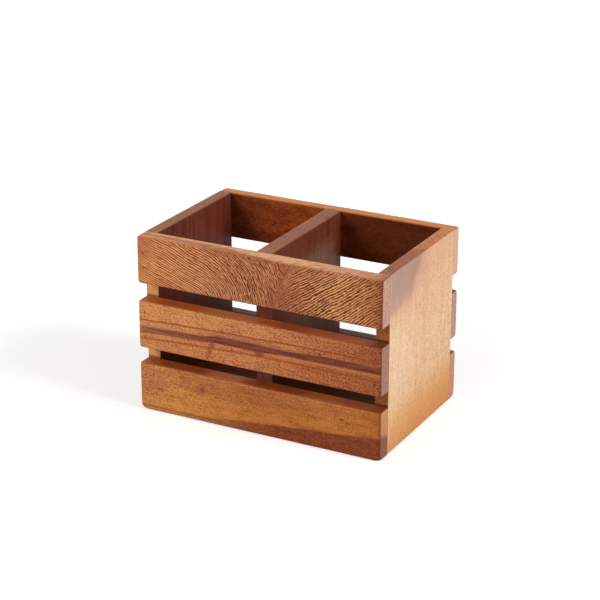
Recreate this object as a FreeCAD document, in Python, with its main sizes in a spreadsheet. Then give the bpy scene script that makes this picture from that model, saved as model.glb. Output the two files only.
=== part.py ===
import FreeCAD, Part
import os

import Sketcher

# Slatted wooden caddy for table cutlery: two upright end panels and a centre
# divider, three slats nailed across the front and three across the back, and
# a base board housed in a groove round the inside.
#
# Frame: +X along the slats to the right, +Y to the back, +Z up. The origin is
# on the resting plane, in the middle of the outer width and depth. Lengths
# are in millimetres.

SIZES = [
    # Outer size, across the slats and from front face to back face
    ("caddy_width", 184.0),
    ("caddy_depth", 121.0),
    # Slats and the open gaps between them, from the resting plane upward
    ("bottom_slat_height", 35.0),
    ("lower_gap", 11.1),
    ("middle_slat_height", 34.4),
    ("upper_gap", 12.7),
    ("top_slat_height", 33.8),
    ("front_slat_thickness", 11.0),
    ("back_slat_thickness", 9.2),
    # Upright boards
    ("panel_thickness", 9.6),
    ("divider_thickness", 12.0),
    # Base board, and the groove that holds its rim
    ("base_thickness", 8.0),
    ("base_rise", 3.5),
    ("groove_depth", 3.0),
    ("groove_clearance", 0.2),
    # Sanded edges
    ("edge_radius", 1.5),
    # Brads: headed wire nails, set below the surface and filled over
    ("brad_head_diameter", 2.2),
    ("brad_head_thickness", 0.8),
    ("brad_shank_diameter", 1.4),
    ("brad_length", 26.0),
    ("brad_set_depth", 1.4),
    ("brad_clearance", 0.05),
    ("brad_tip_space", 0.5),
    # Brads in a slat end lie one above the other, on the panel's middle
    ("brad_spacing", 11.0),
    ("middle_brad_spacing", 17.5),
    ("bottom_brad_rise", 3.4),
    # Brads up through the base board into the divider
    ("divider_brad_spacing", 34.0),
]

# Lengths that follow from the sheet, as expressions
CADDY_HEIGHT = ("(Sizes.bottom_slat_height + Sizes.lower_gap + Sizes.middle_slat_height"
                " + Sizes.upper_gap + Sizes.top_slat_height)")
MIDDLE_SLAT_Z = "(Sizes.bottom_slat_height + Sizes.lower_gap)"
TOP_SLAT_Z = f"({MIDDLE_SLAT_Z} + Sizes.middle_slat_height + Sizes.upper_gap)"
FRONT_Y = "(-Sizes.caddy_depth / 2)"
BACK_Y = "(Sizes.caddy_depth / 2)"
INNER_FRONT_Y = f"({FRONT_Y} + Sizes.front_slat_thickness)"
INNER_WIDTH = "(Sizes.caddy_width - 2 * Sizes.panel_thickness)"
INNER_DEPTH = "(Sizes.caddy_depth - Sizes.front_slat_thickness - Sizes.back_slat_thickness)"
BASE_TOP = "(Sizes.base_rise + Sizes.base_thickness)"
GROOVE_HEIGHT = "(Sizes.base_thickness + Sizes.groove_clearance)"
BASE_REACH = "(Sizes.groove_depth - Sizes.groove_clearance)"
BRAD_X = "(Sizes.caddy_width / 2 - Sizes.panel_thickness / 2)"
SHANK_HOLE = "(Sizes.brad_shank_diameter + 2 * Sizes.brad_clearance)"
HEAD_HOLE = "(Sizes.brad_head_diameter + 2 * Sizes.brad_clearance)"
HEAD_HOLE_DEPTH = "(Sizes.brad_set_depth + Sizes.brad_head_thickness)"
BRAD_REACH = "(Sizes.brad_set_depth + Sizes.brad_length + Sizes.brad_tip_space)"

# One slat level: its height, its underside above the resting plane, and the
# heights of its two brads above its own underside
LEVELS = {
    "bottom": {
        "height": "Sizes.bottom_slat_height",
        "z": "0",
        "brads": [
            "(Sizes.bottom_slat_height / 2 + Sizes.bottom_brad_rise - Sizes.brad_spacing / 2)",
            "(Sizes.bottom_slat_height / 2 + Sizes.bottom_brad_rise + Sizes.brad_spacing / 2)",
        ],
    },
    "middle": {
        "height": "Sizes.middle_slat_height",
        "z": MIDDLE_SLAT_Z,
        "brads": [
            "(Sizes.middle_slat_height / 2 - Sizes.middle_brad_spacing / 2)",
            "(Sizes.middle_slat_height / 2 + Sizes.middle_brad_spacing / 2)",
        ],
    },
    "top": {
        "height": "Sizes.top_slat_height",
        "z": TOP_SLAT_Z,
        "brads": [
            "(Sizes.top_slat_height / 2 - Sizes.brad_spacing / 2)",
            "(Sizes.top_slat_height / 2 + Sizes.brad_spacing / 2)",
        ],
    },
}

HALF_TURN = FreeCAD.Rotation(FreeCAD.Vector(0, 0, 1), 180)
ALONG_Y = FreeCAD.Vector(0, 1, 0)

doc = FreeCAD.newDocument("cutlery_caddy")


def make_sheet():
    """Put every driving dimension in the sheet, one named cell each."""
    sheet = doc.addObject("Spreadsheet::Sheet", "Sizes")
    for row, (alias, value) in enumerate(SIZES, start=1):
        sheet.set(f"A{row}", alias)
        sheet.set(f"B{row}", str(value))
        sheet.setAlias(f"B{row}", alias)
    doc.recompute()
    return sheet


def make_body(label, x="", y="", z="", rotation=None):
    """Start a sub-part whose own frame sits at the given expressions."""
    body = doc.addObject("PartDesign::Body", label)
    body.Label = label
    body.AllowCompound = True
    if rotation:
        body.Placement.Rotation = rotation
    for axis, expression in (("x", x), ("y", y), ("z", z)):
        if expression:
            body.setExpression(f"Placement.Base.{axis}", expression)
    return body


def make_sketch(body, name, role, offset=""):
    """Attach a sketch to one of the body's own origin planes."""
    sketch = body.newObject("Sketcher::SketchObject", name)
    plane = next(item for item in body.Origin.OriginFeatures if item.Role == role)
    sketch.AttachmentSupport = (plane, "")
    sketch.MapMode = "FlatFace"
    if offset:
        sketch.setExpression("AttachmentOffset.Base.z", offset)
    return sketch


def bind(sketch, index, name, expression):
    """Name a dimension of a sketch and tie it to an expression."""
    sketch.renameConstraint(index, name)
    sketch.setExpression(f"Constraints.{name}", expression)


def add_rectangle(sketch, width, height, rise="", centred=True):
    """Draw a rectangle: centred on the vertical axis or starting at it, and
    standing on the horizontal axis or the given rise above it."""
    corners = [FreeCAD.Vector(x, y, 0) for x, y in ((0, 1), (2, 1), (2, 2), (0, 2))]
    for start, end in zip(corners, corners[1:] + corners[:1]):
        sketch.addGeometry(Part.LineSegment(start, end), False)
    for line in range(4):
        sketch.addConstraint(Sketcher.Constraint("Coincident", line, 2, (line + 1) % 4, 1))
    for line, direction in ((1, "Vertical"), (2, "Horizontal"), (3, "Vertical")):
        sketch.addConstraint(Sketcher.Constraint(direction, line))
    if centred:
        sketch.addConstraint(Sketcher.Constraint("Symmetric", 0, 1, 0, 2, -2))
    else:
        sketch.addConstraint(Sketcher.Constraint("Horizontal", 0))
        sketch.addConstraint(Sketcher.Constraint("PointOnObject", 0, 1, -2))
    if rise:
        bind(sketch, sketch.addConstraint(Sketcher.Constraint("DistanceY", -1, 1, 0, 1, 1.0)),
             "rise", rise)
    else:
        sketch.addConstraint(Sketcher.Constraint("PointOnObject", 0, 1, -1))
    bind(sketch, sketch.addConstraint(Sketcher.Constraint("DistanceX", 0, 1, 0, 2, 2.0)),
         "width", width)
    bind(sketch, sketch.addConstraint(Sketcher.Constraint("DistanceY", 1, 1, 1, 2, 1.0)),
         "height", height)


def add_circles(sketch, centres, diameter):
    """Draw equal circles. A centre is (side, x, y): x and y are expressions
    from the sketch's origin, and side is -1 where x lies to the left."""
    for number, (side, x, y) in enumerate(centres):
        start = FreeCAD.Vector(side * (number + 1), number + 1, 0)
        circle = sketch.addGeometry(Part.Circle(start, FreeCAD.Vector(0, 0, 1), 1.0), False)
        ends = (-1, 1, circle, 3) if side > 0 else (circle, 3, -1, 1)
        across = sketch.addConstraint(Sketcher.Constraint("DistanceX", *ends, number + 1.0))
        bind(sketch, across, f"across_{number}", x)
        up = sketch.addConstraint(Sketcher.Constraint("DistanceY", -1, 1, circle, 3, number + 1.0))
        bind(sketch, up, f"up_{number}", y)
        size = sketch.addConstraint(Sketcher.Constraint("Diameter", circle, 2.0))
        bind(sketch, size, f"diameter_{number}", diameter)


def pad(body, sketch, length, backward=False):
    """Raise a sketch by an expression, forward or backward of its normal."""
    feature = body.newObject("PartDesign::Pad", f"{sketch.Name}_pad")
    feature.Profile = sketch
    feature.setExpression("Length", length)
    feature.Reversed = backward
    doc.recompute()
    return feature


def pocket(body, sketch, depth, forward=False):
    """Cut a sketch into the body, and make sure that it removed material."""
    before = body.Shape.Volume
    feature = body.newObject("PartDesign::Pocket", f"{sketch.Name}_cut")
    feature.Profile = sketch
    feature.setExpression("Length", depth)
    feature.Reversed = forward
    doc.recompute()
    if not body.Shape.Volume < before:
        raise RuntimeError(f"{feature.Name} removes nothing")
    return feature


def ease_edges(body, feature, wanted):
    """Round over the edges of a feature that pass the test `wanted`."""
    names = []
    for number, edge in enumerate(feature.Shape.Edges, start=1):
        if wanted(edge):
            names.append(f"Edge{number}")
    fillet = body.newObject("PartDesign::Fillet", f"{body.Name}_eased")
    fillet.Base = (feature, names)
    fillet.setExpression("Radius", "Sizes.edge_radius")
    doc.recompute()
    return fillet


def runs_along(edge, direction):
    """Tell whether a straight edge is parallel to a direction."""
    tangent = edge.Vertexes[1].Point - edge.Vertexes[0].Point
    return tangent.cross(direction).Length < edge.Length / 1000


def both_ends(heights):
    """Centres of the brads at the two ends of a slat, on the panels' middles."""
    return [(side, BRAD_X, height) for side in (-1, 1) for height in heights]


def all_brad_centres():
    """Centres of every brad of one side of the caddy, above the resting plane."""
    heights = []
    for level in LEVELS.values():
        heights += [f"({level['z']} + {height})" for height in level["brads"]]
    return both_ends(heights)


# --- Slats: nailed over the front and back edges of the panels -------------

def make_slat(side, level_name):
    """One slat with eased outer edges and sunk brad holes at its ends. Its
    own frame has y = 0 on its outer face and +y towards the inside, so a back
    slat is the same shape turned half round."""
    level = LEVELS[level_name]
    label = f"{side}_{level_name}_slat"
    thickness = f"Sizes.{side}_slat_thickness"
    y, rotation = (FRONT_Y, None) if side == "front" else (BACK_Y, HALF_TURN)
    body = make_body(label, y=y, z=level["z"], rotation=rotation)
    outline = make_sketch(body, f"{label}_outline", "XZ_Plane")
    add_rectangle(outline, "Sizes.caddy_width", level["height"])
    board = pad(body, outline, thickness, backward=True)
    inner_y = board.Shape.BoundBox.YMax
    ease_edges(body, board, lambda edge: edge.BoundBox.YMin < inner_y / 2)
    if level_name == "bottom":
        groove = make_sketch(body, f"{label}_groove", "XZ_Plane", offset=f"-{thickness}")
        add_rectangle(groove, f"{INNER_WIDTH} + 2 * Sizes.groove_depth", GROOVE_HEIGHT,
                      rise="Sizes.base_rise")
        pocket(body, groove, "Sizes.groove_depth", forward=True)
    heads = make_sketch(body, f"{label}_heads", "XZ_Plane")
    add_circles(heads, both_ends(level["brads"]), HEAD_HOLE)
    pocket(body, heads, HEAD_HOLE_DEPTH)
    shanks = make_sketch(body, f"{label}_shanks", "XZ_Plane")
    add_circles(shanks, both_ends(level["brads"]), SHANK_HOLE)
    pocket(body, shanks, thickness)
    return body


# --- End panels: carry the slats and hold the base board in a groove -------

def make_end_panel(name, side):
    """One end panel, with x = 0 on its inner face and the board outward of
    it; `side` is +1 for the right panel and -1 for the left one."""
    inner_x = f"({side} * {INNER_WIDTH} / 2)"
    body = make_body(name, x=inner_x, y=INNER_FRONT_Y)
    outline = make_sketch(body, f"{name}_outline", "YZ_Plane")
    add_rectangle(outline, INNER_DEPTH, CADDY_HEIGHT, centred=False)
    board = pad(body, outline, "Sizes.panel_thickness", backward=side < 0)
    ease_edges(body, board, lambda edge: runs_along(edge, ALONG_Y))
    groove = make_sketch(body, f"{name}_groove", "YZ_Plane")
    add_rectangle(groove, INNER_DEPTH, GROOVE_HEIGHT, rise="Sizes.base_rise", centred=False)
    pocket(body, groove, "Sizes.groove_depth", forward=side > 0)
    centres = [(side, "Sizes.panel_thickness / 2", height)
               for where, _, height in all_brad_centres() if where == side]
    front = make_sketch(body, f"{name}_front_holes", "XZ_Plane")
    add_circles(front, centres, SHANK_HOLE)
    pocket(body, front, f"{BRAD_REACH} - Sizes.front_slat_thickness")
    back = make_sketch(body, f"{name}_back_holes", "XZ_Plane", offset=f"-{INNER_DEPTH}")
    add_circles(back, centres, SHANK_HOLE)
    pocket(body, back, f"{BRAD_REACH} - Sizes.back_slat_thickness", forward=True)
    return body


# --- Base board: its rim lies in the groove of the panels and bottom slats --

def divider_brad_centres():
    """Places of the three brads under the divider, from the base's middle."""
    return [(1, "0", f"({step} * Sizes.divider_brad_spacing)") for step in (-1, 0, 1)]


def inner_middle_y():
    """Middle of the inside, front to back."""
    return f"({INNER_FRONT_Y} + {INNER_DEPTH} / 2)"


def make_base_board():
    """The floor of both compartments, on the lower face of the groove."""
    body = make_body("base_board", y=f"{INNER_FRONT_Y} - {BASE_REACH}", z="Sizes.base_rise")
    outline = make_sketch(body, "base_outline", "XY_Plane")
    add_rectangle(outline, f"{INNER_WIDTH} + 2 * {BASE_REACH}",
                  f"{INNER_DEPTH} + 2 * {BASE_REACH}")
    pad(body, outline, "Sizes.base_thickness")
    middle = f"({INNER_DEPTH} / 2 + {BASE_REACH})"
    centres = [(side, x, f"({middle} + {y})") for side, x, y in divider_brad_centres()]
    heads = make_sketch(body, "base_heads", "XY_Plane")
    add_circles(heads, centres, HEAD_HOLE)
    pocket(body, heads, "Sizes.brad_head_thickness", forward=True)
    shanks = make_sketch(body, "base_shanks", "XY_Plane")
    add_circles(shanks, centres, SHANK_HOLE)
    pocket(body, shanks, "Sizes.base_thickness", forward=True)
    return body


# --- Centre divider: stands on the base board, glued between the slats ------

def make_divider():
    """The upright board between the two compartments."""
    body = make_body("centre_divider", y=INNER_FRONT_Y, z=BASE_TOP,
                     x="(-Sizes.divider_thickness / 2)")
    outline = make_sketch(body, "divider_outline", "YZ_Plane")
    add_rectangle(outline, INNER_DEPTH, f"{CADDY_HEIGHT} - {BASE_TOP}", centred=False)
    board = pad(body, outline, "Sizes.divider_thickness")
    top_z = board.Shape.BoundBox.ZMax
    ease_edges(body, board,
               lambda edge: runs_along(edge, ALONG_Y) and edge.BoundBox.ZMin > top_z / 2)
    centres = [(side, f"(Sizes.divider_thickness / 2 + {x})", f"({INNER_DEPTH} / 2 + {y})")
               for side, x, y in divider_brad_centres()]
    holes = make_sketch(body, "divider_holes", "XY_Plane")
    add_circles(holes, centres, SHANK_HOLE)
    pocket(body, holes, "Sizes.brad_length + Sizes.brad_tip_space - Sizes.base_thickness",
           forward=True)
    return body


# --- Brads, and the filler over the ones that are sunk in the slats ---------

def make_brads(name, role, centres, start="", backward=False, **place):
    """A group of brads along the normal of the plane `role`: heads that begin
    at `start`, then shanks, all pointing the same way."""
    body = make_body(name, **place)
    heads = make_sketch(body, f"{name}_heads", role, offset=start)
    add_circles(heads, centres, "Sizes.brad_head_diameter")
    pad(body, heads, "Sizes.brad_head_thickness", backward=backward)
    shanks = make_sketch(body, f"{name}_shanks", role, offset=start)
    add_circles(shanks, centres, "Sizes.brad_shank_diameter")
    pad(body, shanks, "Sizes.brad_length", backward=backward)
    return body


def make_fillers(name, **place):
    """The plugs of filler that close the brad holes of one side."""
    body = make_body(name, **place)
    discs = make_sketch(body, f"{name}_discs", "XZ_Plane")
    add_circles(discs, all_brad_centres(), "Sizes.brad_head_diameter")
    pad(body, discs, "Sizes.brad_set_depth", backward=True)
    return body


def make_caddy():
    """Build every sub-part and return them in the order of assembly."""
    parts = [make_end_panel("left_end_panel", -1), make_end_panel("right_end_panel", 1)]
    parts += [make_slat("front", "bottom"), make_slat("back", "bottom")]
    parts += [make_base_board(), make_divider()]
    for level_name in ("middle", "top"):
        parts += [make_slat("front", level_name), make_slat("back", level_name)]
    front = {"y": FRONT_Y}
    back = {"y": BACK_Y, "rotation": HALF_TURN}
    for side, place in (("front", front), ("back", back)):
        parts.append(make_brads(f"{side}_slat_brads", "XZ_Plane", all_brad_centres(),
                                start="-Sizes.brad_set_depth", backward=True, **place))
        parts.append(make_fillers(f"{side}_brad_fillers", **place))
    parts.append(make_brads("divider_brads", "XY_Plane", divider_brad_centres(),
                            y=inner_middle_y(), z="Sizes.base_rise"))
    return parts


def check(parts):
    """Stop if any object failed or any sub-part has no sound shape."""
    for item in doc.Objects:
        if "Invalid" in item.State or "Error" in item.State:
            raise RuntimeError(f"{item.Name} failed: {item.State}")
    for part in parts:
        if part.Shape.isNull() or not part.Shape.isValid():
            raise RuntimeError(f"{part.Label} has no sound shape")


def export(parts):
    """Write each sub-part to its own STEP file, named after its label."""
    os.makedirs("parts", exist_ok=True)
    for part in parts:
        part.Shape.exportStep(os.path.join("parts", f"{part.Label}.step"))
        print(part.Label, len(part.Shape.Solids), "solids", round(part.Shape.Volume, 1), "mm3")


make_sheet()
caddy = make_caddy()
doc.recompute()
check(caddy)
export(caddy)
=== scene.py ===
import math
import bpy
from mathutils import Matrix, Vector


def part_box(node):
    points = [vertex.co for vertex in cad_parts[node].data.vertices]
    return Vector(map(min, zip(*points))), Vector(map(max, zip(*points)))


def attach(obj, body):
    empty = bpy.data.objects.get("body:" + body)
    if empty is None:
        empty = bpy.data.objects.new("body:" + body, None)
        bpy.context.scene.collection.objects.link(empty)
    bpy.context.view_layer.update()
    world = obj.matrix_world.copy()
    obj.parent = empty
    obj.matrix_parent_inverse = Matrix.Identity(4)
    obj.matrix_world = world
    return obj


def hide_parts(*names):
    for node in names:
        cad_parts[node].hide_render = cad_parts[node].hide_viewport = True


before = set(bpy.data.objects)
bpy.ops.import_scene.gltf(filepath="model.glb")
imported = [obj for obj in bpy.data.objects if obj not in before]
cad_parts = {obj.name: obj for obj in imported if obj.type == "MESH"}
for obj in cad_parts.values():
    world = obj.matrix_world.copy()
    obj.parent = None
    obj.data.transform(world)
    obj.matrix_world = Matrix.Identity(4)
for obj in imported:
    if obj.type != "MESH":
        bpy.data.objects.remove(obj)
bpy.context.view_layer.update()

from types import SimpleNamespace

import bpy
import numpy as np
from mathutils import Euler, Matrix, Quaternion, Vector


# --- End panels --------------------------------------------------------------
# Two upright acacia boards with their grain standing up. The slats are glued
# and nailed over their front and back edges, so those edges stay square and
# only the long edges at the rim and the foot are sanded round.

MM = 0.001
EDGE_STEPS = 7
FLAT_STEP = 3.0 * MM
EDGE_MARGIN = 0.15 * MM
MARK_SPAN, MARK_LINES = 1.6, 9
MERGE = 0.001 * MM
FOOT_REACH = 7.0 * MM
CORNER_REACH = 4.0 * MM
LEFT_CORNERS, RIGHT_CORNERS, FOOT_CORNERS = 0.4 * MM, 0.3 * MM, 2.1 * MM
JOINT_RADIUS, SLACK = 0.15, 1.01
RADIUS_GROWTH = 0.5
WAVER_SHARE = 0.15
WAVER_SLOPE = np.array([1.0, 0.7, 0.9])
WAVES, WAVE_TURN = (0.037, 0.061, 0.113), 6.3
OTHER_AXES = {0: (1, 2), 1: (0, 2), 2: (0, 1)}


def stations(low, high, low_radius, high_radius, marks=()):
    """Grid lines along one side of a board: even steps over the flat, lines at
    radius * tan(angle) from 0 to 45 degrees over each rounded edge, which the
    easing spreads evenly, and a finer set round each mark."""
    turn = np.tan(np.linspace(0.0, math.pi / 4, EDGE_STEPS + 1))
    start, end = low + low_radius, high - high_radius
    flat = np.linspace(start, end, max(2, round((end - start) / FLAT_STEP)) + 1)
    lines = [low + low_radius * (1 - turn), [start + EDGE_MARGIN, end - EDGE_MARGIN], flat,
             high - high_radius * (1 - turn)]
    lines += [mark + np.linspace(-MARK_SPAN, MARK_SPAN, MARK_LINES) * MM for mark in marks]
    return np.unique(np.round(np.concatenate(lines), 7))


def waver(position, seed):
    """A slow wandering value between -1 and 1 along the board: the mean of
    three sine waves of unlike length, each turned by the seed."""
    slope = position @ WAVER_SLOPE
    return sum(np.sin(slope / (wave / WAVE_TURN) + seed / wave) for wave in WAVES) / len(WAVES)


def add_mesh(name, points, faces, eased=()):
    """Make an object of computed points and faces, with smooth shading. eased
    says how round the board's edge is at each point, from 0 to 1."""
    mesh = bpy.data.meshes.new(name)
    mesh.from_pydata(points.tolist(), [], faces)
    if len(eased):
        attribute = mesh.attributes.new("eased", "FLOAT", "POINT")
        attribute.data.foreach_set("value", eased.astype(np.float32))
    mesh.shade_smooth()
    mesh.validate()
    piece = bpy.data.objects.new(name, mesh)
    bpy.context.collection.objects.link(piece)
    return piece


def box_skin(low, high, lines):
    """The six faces of a box as grids on the given lines: its points, each of
    them once, and its quads, which face outwards."""
    points, faces, count = [], [], 0
    for axis in range(3):
        across, up = (axis + 1) % 3, (axis + 2) % 3
        grid_u, grid_v = np.meshgrid(lines[across], lines[up], indexing="ij")
        index = np.arange(grid_u.size).reshape(grid_u.shape)
        quads = np.stack([index[:-1, :-1], index[1:, :-1], index[1:, 1:], index[:-1, 1:]], -1)
        for side, order in ((low, [3, 2, 1, 0]), (high, [0, 1, 2, 3])):
            patch = np.empty((grid_u.size, 3))
            patch[:, axis] = side[axis]
            patch[:, across] = grid_u.ravel()
            patch[:, up] = grid_v.ravel()
            points.append(patch)
            faces.append(quads.reshape(-1, 4)[:, order] + count)
            count += grid_u.size
    points, faces = np.concatenate(points), np.concatenate(faces)
    keys = np.round(points / MERGE).astype(np.int64)
    _, first, merged = np.unique(keys, axis=0, return_index=True, return_inverse=True)
    return points[first], merged.ravel()[faces]


def eased_board(node, radii, seed, material, sinks=(), foot=None):
    """The board of a CAD node with sanded edges. Each point p on the six faces
    of its box moves to q + r (p - q) / |p - q|, where q is p held r inside the
    box: flats stay flat, and edges and corners become arcs. radii gives r for
    the low and high side of x, y and z in millimetres, and foot gives it at the
    lowest edge, from where it changes to radii. At an edge the smaller one
    rules, it grows towards the corners, and it wavers along the board. Only a
    side with the joint radius is left out of this: it was sanded together with
    its neighbour, so its own r holds across it and the other edges run on.
    sinks are (axis, side, u, v, radius, depth) of round hollows in the low (-1)
    or high (+1) face across an axis, u and v being the middle on the two other
    axes in order: a point at distance d from the middle sinks by
    depth (1 - (d / radius)^2)^2."""
    low, high = (np.array(corner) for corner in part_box(node))
    lowest = np.array(foot or radii) * MM
    radii = np.array(radii) * MM
    joint = SLACK * JOINT_RADIUS * MM
    widest = np.maximum(radii, lowest)
    widest += np.where(widest > joint, FOOT_CORNERS if foot else LEFT_CORNERS, 0.0)
    marks = ([], [], [])
    for axis, side, *middle, hollow, depth in sinks:
        for other, mark in zip(OTHER_AXES[axis], middle):
            marks[other].append(mark)
    lines = [stations(low[a], high[a], *widest[a], marks[a]) for a in range(3)]
    points, faces = box_skin(low, high, lines)
    to_low, to_high = points - low, high - points
    near = np.minimum(to_low, to_high)
    side_radius = np.where(to_low < to_high, radii[:, 0], radii[:, 1])
    foot_radius = np.where(to_low < to_high, lowest[:, 0], lowest[:, 1])
    near_foot = np.clip(1 - to_low[:, 2] / FOOT_REACH, 0, 1)
    side_radius += near_foot[:, None] * (foot_radius - side_radius)
    glued = side_radius < joint
    radius = np.min(np.where(glued, np.inf, side_radius + RADIUS_GROWTH * near), axis=1)
    to_corner = np.max(np.where(glued, np.inf, near), axis=1)
    rounder = np.where(points[:, 0] < 0, LEFT_CORNERS, RIGHT_CORNERS)
    rounder += bool(foot) * near_foot * (FOOT_CORNERS - rounder)
    radius += rounder * np.clip(1 - to_corner / CORNER_REACH, 0, 1)
    radius *= 1 + WAVER_SHARE * waver(points, seed)
    radius = np.where(glued, side_radius, radius[:, None])
    inside = np.clip(points, low + radius, high - radius)
    away = (points - inside) / radius
    reach = np.linalg.norm(away, axis=1, keepdims=True)
    bend = 1 - np.max(np.abs(away), axis=1) / reach[:, 0]
    eased = inside + radius * away / reach
    for axis, side, *middle, hollow, depth in sinks:
        face = low[axis] if side < 0 else high[axis]
        distance = np.linalg.norm(eased[:, OTHER_AXES[axis]] - middle, axis=1) / hollow
        dip = depth * np.clip(1 - distance ** 2, 0, 1) ** 2
        on_face = np.abs(points[:, axis] - face) < 10 * MERGE
        eased[:, axis] -= side * np.where(on_face, dip, 0)
    roundness = np.clip(bend / (1 - math.sqrt(0.5)), 0, 1)
    piece = add_mesh(node.title(), eased, faces.tolist(), roundness)
    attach(piece, "root")
    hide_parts(node)
    piece.data.materials.append(material)


def tone(code):
    """A colour written as six hexadecimal digits, as linear light values."""
    channels = [int(code[i:i + 2], 16) / 255 for i in (0, 2, 4)]
    linear = [c / 12.92 if c <= 0.04045 else ((c + 0.055) / 1.055) ** 2.4 for c in channels]
    return (*linear, 1.0)


class Layer:
    """A number, a place or a colour that changes over a surface: one output of
    a shader node. The signs + - * / join it with constants and other layers."""

    def __init__(self, socket):
        self.socket, self.tree = socket, socket.id_data

    def __add__(self, other):
        return reckon("ADD", self, other)

    def __sub__(self, other):
        return reckon("SUBTRACT", self, other)

    def __rsub__(self, other):
        return reckon("SUBTRACT", other, self)

    def __mul__(self, other):
        return reckon("MULTIPLY", self, other)

    def __truediv__(self, other):
        return reckon("DIVIDE", self, other)

    __radd__, __rmul__ = __add__, __mul__


def put(tree, kind, values=None, **settings):
    """Add a node. settings are its options; values are its inputs by name or
    number: each is a layer that feeds it, a tone's code, or a constant."""
    node = tree.nodes.new(kind)
    for option, value in settings.items():
        setattr(node, option, value)
    for key, value in (values or {}).items():
        if isinstance(value, Layer):
            tree.links.new(value.socket, node.inputs[key])
        else:
            node.inputs[key].default_value = tone(value) if isinstance(value, str) else value
    return node


def layer(kind, values, output=0, **settings):
    """Add a node beside the layers that feed it, and give one of its outputs."""
    tree = next(value.tree for value in values.values() if isinstance(value, Layer))
    return Layer(put(tree, kind, values, **settings).outputs[output])


def reckon(operation, *values, clamp=False):
    """What a Math node makes of layers and constants, or a Vector Math node
    where one of them is a place."""
    if not any(isinstance(v, Layer) and v.socket.type == "VECTOR" for v in values):
        return layer("ShaderNodeMath", dict(enumerate(values)), operation=operation,
                     use_clamp=clamp)
    values = [v if isinstance(v, (Layer, tuple)) else (v, v, v) for v in values]
    return layer("ShaderNodeVectorMath", dict(enumerate(values)),
                 "Value" if operation in ("LENGTH", "DOT_PRODUCT") else "Vector",
                 operation=operation)


def within(value):
    """A value kept between 0 and 1."""
    return reckon("MINIMUM", value, 1.0, clamp=True)


def parts(place):
    """The x, y and z of a place."""
    return [Layer(out) for out in put(place.tree, "ShaderNodeSeparateXYZ", {0: place}).outputs]


def joined(x, y, z):
    """The place or size with a given x, y and z."""
    return layer("ShaderNodeCombineXYZ", {0: x, 1: y, 2: z})


def turned(place, angles):
    """A place turned about x, y and z by angles in radians."""
    return layer("ShaderNodeMapping", {"Vector": place, "Rotation": angles})


def blend(factor, first, second):
    """Two colours mixed by a factor, which counts from 0 to 1."""
    return layer("ShaderNodeMix", {0: factor, 6: first, 7: second}, 2, data_type="RGBA")


def stain(colour, mask, code, strength=1.0):
    """Another tone laid over a colour where a mask shows."""
    return blend(mask * strength, colour, code)


def noise(place, detail=2.0, roughness=0.5):
    """Smooth random values around 0.5, in lumps of one unit of a place, or of
    a number."""
    flat = place.socket.type == "VALUE"
    return layer("ShaderNodeTexNoise", {"W" if flat else "Vector": place, "Scale": 1.0,
                                        "Detail": detail, "Roughness": roughness},
                 noise_dimensions="1D" if flat else "3D")


def lumps(place, size, detail=2.0, roughness=0.5):
    """Smooth random values whose lumps have a size in millimetres."""
    return noise(place / size, detail, roughness)


def rise(value, low, high, start=0.0, end=1.0):
    """A soft step from start to end while the value goes from low to high."""
    return layer("ShaderNodeMapRange", {"Value": value, "From Min": low, "From Max": high,
                                        "To Min": start, "To Max": end},
                 interpolation_type="SMOOTHSTEP")


def fall(value, low, high):
    """A soft step from 1 to 0 while the value goes from low to high."""
    return rise(value, low, high, 1.0, 0.0)


def between(value, low, high, soft):
    """A mask that is 1 while a value is between two limits."""
    return rise(value, low - soft, low + soft) * fall(value, high - soft, high + soft)


def share(value, stops):
    """How far a value is from the first stop to the last, from 0 to 1."""
    return layer("ShaderNodeMapRange", {"Value": value, "From Min": stops[0][0],
                                        "From Max": stops[-1][0]})


def tone_run(value, *stops):
    """Tones that follow one another along a value: stops are (value, code)."""
    ramp = put(value.tree, "ShaderNodeValToRGB", {"Fac": share(value, stops)})
    elements = ramp.color_ramp.elements
    low, high = stops[0][0], stops[-1][0]
    while len(elements) < len(stops):
        elements.new(0.5)
    for element, (at, code) in zip(elements, stops):
        element.position = (at - low) / (high - low)
        element.color = tone(code)
    return Layer(ramp.outputs["Color"])


def label(name):
    """The label of a group's socket, such as Ring Width for ring_width."""
    return name.replace("_", " ").title()


def node_group(**inputs):
    """Build the recipe that follows as a shader node group, once, and give the
    function that places it. The inputs are named, with a number, a place or a
    tone's code as default, and the recipe gives the outputs by name. Placing a
    group with one output gives that layer, and otherwise all of them by name."""

    def build(recipe):
        tree = bpy.data.node_groups.new(recipe.__name__.replace("_", " "), "ShaderNodeTree")
        sides = tree.interface
        for name, default in inputs.items():
            kind = {str: "Color", tuple: "Vector"}.get(type(default), "Float")
            socket = sides.new_socket(label(name), in_out="INPUT",
                                      socket_type="NodeSocket" + kind)
            socket.default_value = tone(default) if kind == "Color" else default
        given = put(tree, "NodeGroupInput").outputs
        results = recipe(*[Layer(given[label(name)]) for name in inputs])
        kinds = {"RGBA": "Color", "VECTOR": "Vector", "VALUE": "Float"}
        for name, value in results.items():
            sides.new_socket(label(name), in_out="OUTPUT",
                             socket_type="NodeSocket" + kinds[value.socket.type])
        put(tree, "NodeGroupOutput", {label(name): value for name, value in results.items()})

        def placed(*values):
            """Place the group with its own values, in the order of its inputs."""
            values = {label(name): value for name, value in zip(inputs, values)}
            place = next(value.tree for value in values.values() if isinstance(value, Layer))
            outputs = put(place, "ShaderNodeGroup", values, node_tree=tree).outputs
            layers = {name: Layer(outputs[label(name)]) for name in results}
            return SimpleNamespace(**layers) if len(layers) > 1 else layers.popitem()[1]

        return placed

    return build


ORIGIN = (0, 0, 0)


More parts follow.
